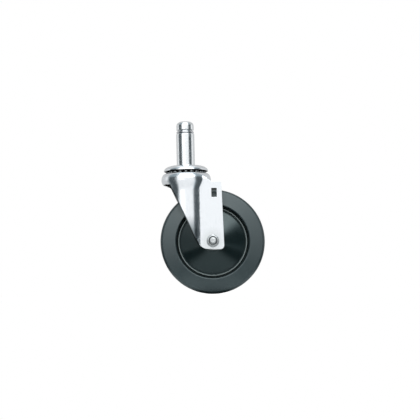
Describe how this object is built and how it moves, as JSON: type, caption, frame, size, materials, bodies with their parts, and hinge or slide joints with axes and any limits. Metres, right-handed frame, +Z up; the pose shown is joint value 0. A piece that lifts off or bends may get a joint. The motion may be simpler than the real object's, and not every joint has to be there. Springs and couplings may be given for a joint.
{
  "type": "swivel stem caster",
  "caption": "Swivel caster with a plain grip-ring stem, pressed steel fork on a double ball race, and a rubber-tyred wheel on a through bolt.",
  "frame": {"origin": "on the swivel axis, in the plane of the stem's seat where the post's lower end rests", "axes": "+Z up along the stem, +X towards the trailing wheel, +Y along the wheel's axle towards the bolt head"},
  "size_m": [0.127, 0.0624, 0.211],
  "materials": {
    "zinc_plate": "bright zinc plate over pressed steel, slightly mottled",
    "bright_steel": "polished steel",
    "grey_rubber": "satin hard rubber, dark grey",
    "black_plastic": "glossy moulded black core",
    "nylon": "dark nylon, satin"
  },
  "bodies": {
    "stem": {"stem": "zinc_plate", "grip_ring": "bright_steel", "top_cap": "zinc_plate", "lower_race": "zinc_plate"},
    "upper_balls": {"upper_ball_01": "bright_steel", "upper_ball_02": "bright_steel", "upper_ball_03": "bright_steel", "upper_ball_04": "bright_steel", "upper_ball_05": "bright_steel", "upper_ball_06": "bright_steel", "upper_ball_07": "bright_steel", "upper_ball_08": "bright_steel", "upper_ball_09": "bright_steel", "upper_ball_10": "bright_steel", "upper_ball_11": "bright_steel", "upper_ball_12": "bright_steel", "upper_ball_13": "bright_steel", "upper_ball_14": "bright_steel", "upper_ball_15": "bright_steel", "upper_ball_16": "bright_steel", "upper_ball_17": "bright_steel", "upper_ball_18": "bright_steel", "upper_ball_19": "bright_steel", "upper_ball_20": "bright_steel"},
    "lower_balls": {"lower_ball_01": "bright_steel", "lower_ball_02": "bright_steel", "lower_ball_03": "bright_steel", "lower_ball_04": "bright_steel", "lower_ball_05": "bright_steel", "lower_ball_06": "bright_steel", "lower_ball_07": "bright_steel", "lower_ball_08": "bright_steel", "lower_ball_09": "bright_steel", "lower_ball_10": "bright_steel", "lower_ball_11": "bright_steel", "lower_ball_12": "bright_steel", "lower_ball_13": "bright_steel", "lower_ball_14": "bright_steel"},
    "fork": {"fork": "zinc_plate", "axle_bolt": "zinc_plate", "axle_nut": "zinc_plate", "nylon_insert": "nylon", "axle_sleeve": "bright_steel", "washer_near": "bright_steel", "washer_far": "bright_steel"},
    "wheel": {"wheel_core": "black_plastic", "tyre": "grey_rubber", "bush_near": "nylon", "bush_far": "nylon"}
  },
  "joints": [
    {"name": "swivel", "type": "hinge", "parent": "stem", "child": "fork", "pos_m": [0, 0, 0], "axis": [0, 0, 1], "continuous": true},
    {"name": "wheel_spin", "type": "hinge", "parent": "fork", "child": "wheel", "pos_m": [0.0306, 0, -0.0935], "axis": [0, 1, 0], "continuous": true},
    {"name": "upper_balls_turn", "type": "hinge", "parent": "stem", "child": "upper_balls", "pos_m": [0, 0, 0], "axis": [0, 0, 1], "continuous": true},
    {"name": "lower_balls_turn", "type": "hinge", "parent": "stem", "child": "lower_balls", "pos_m": [0, 0, 0], "axis": [0, 0, 1], "continuous": true}
  ],
  "couplings": [
    {"joint": "upper_balls_turn", "follows": "swivel", "ratio": 0.5},
    {"joint": "lower_balls_turn", "follows": "swivel", "ratio": 0.5}
  ]
}
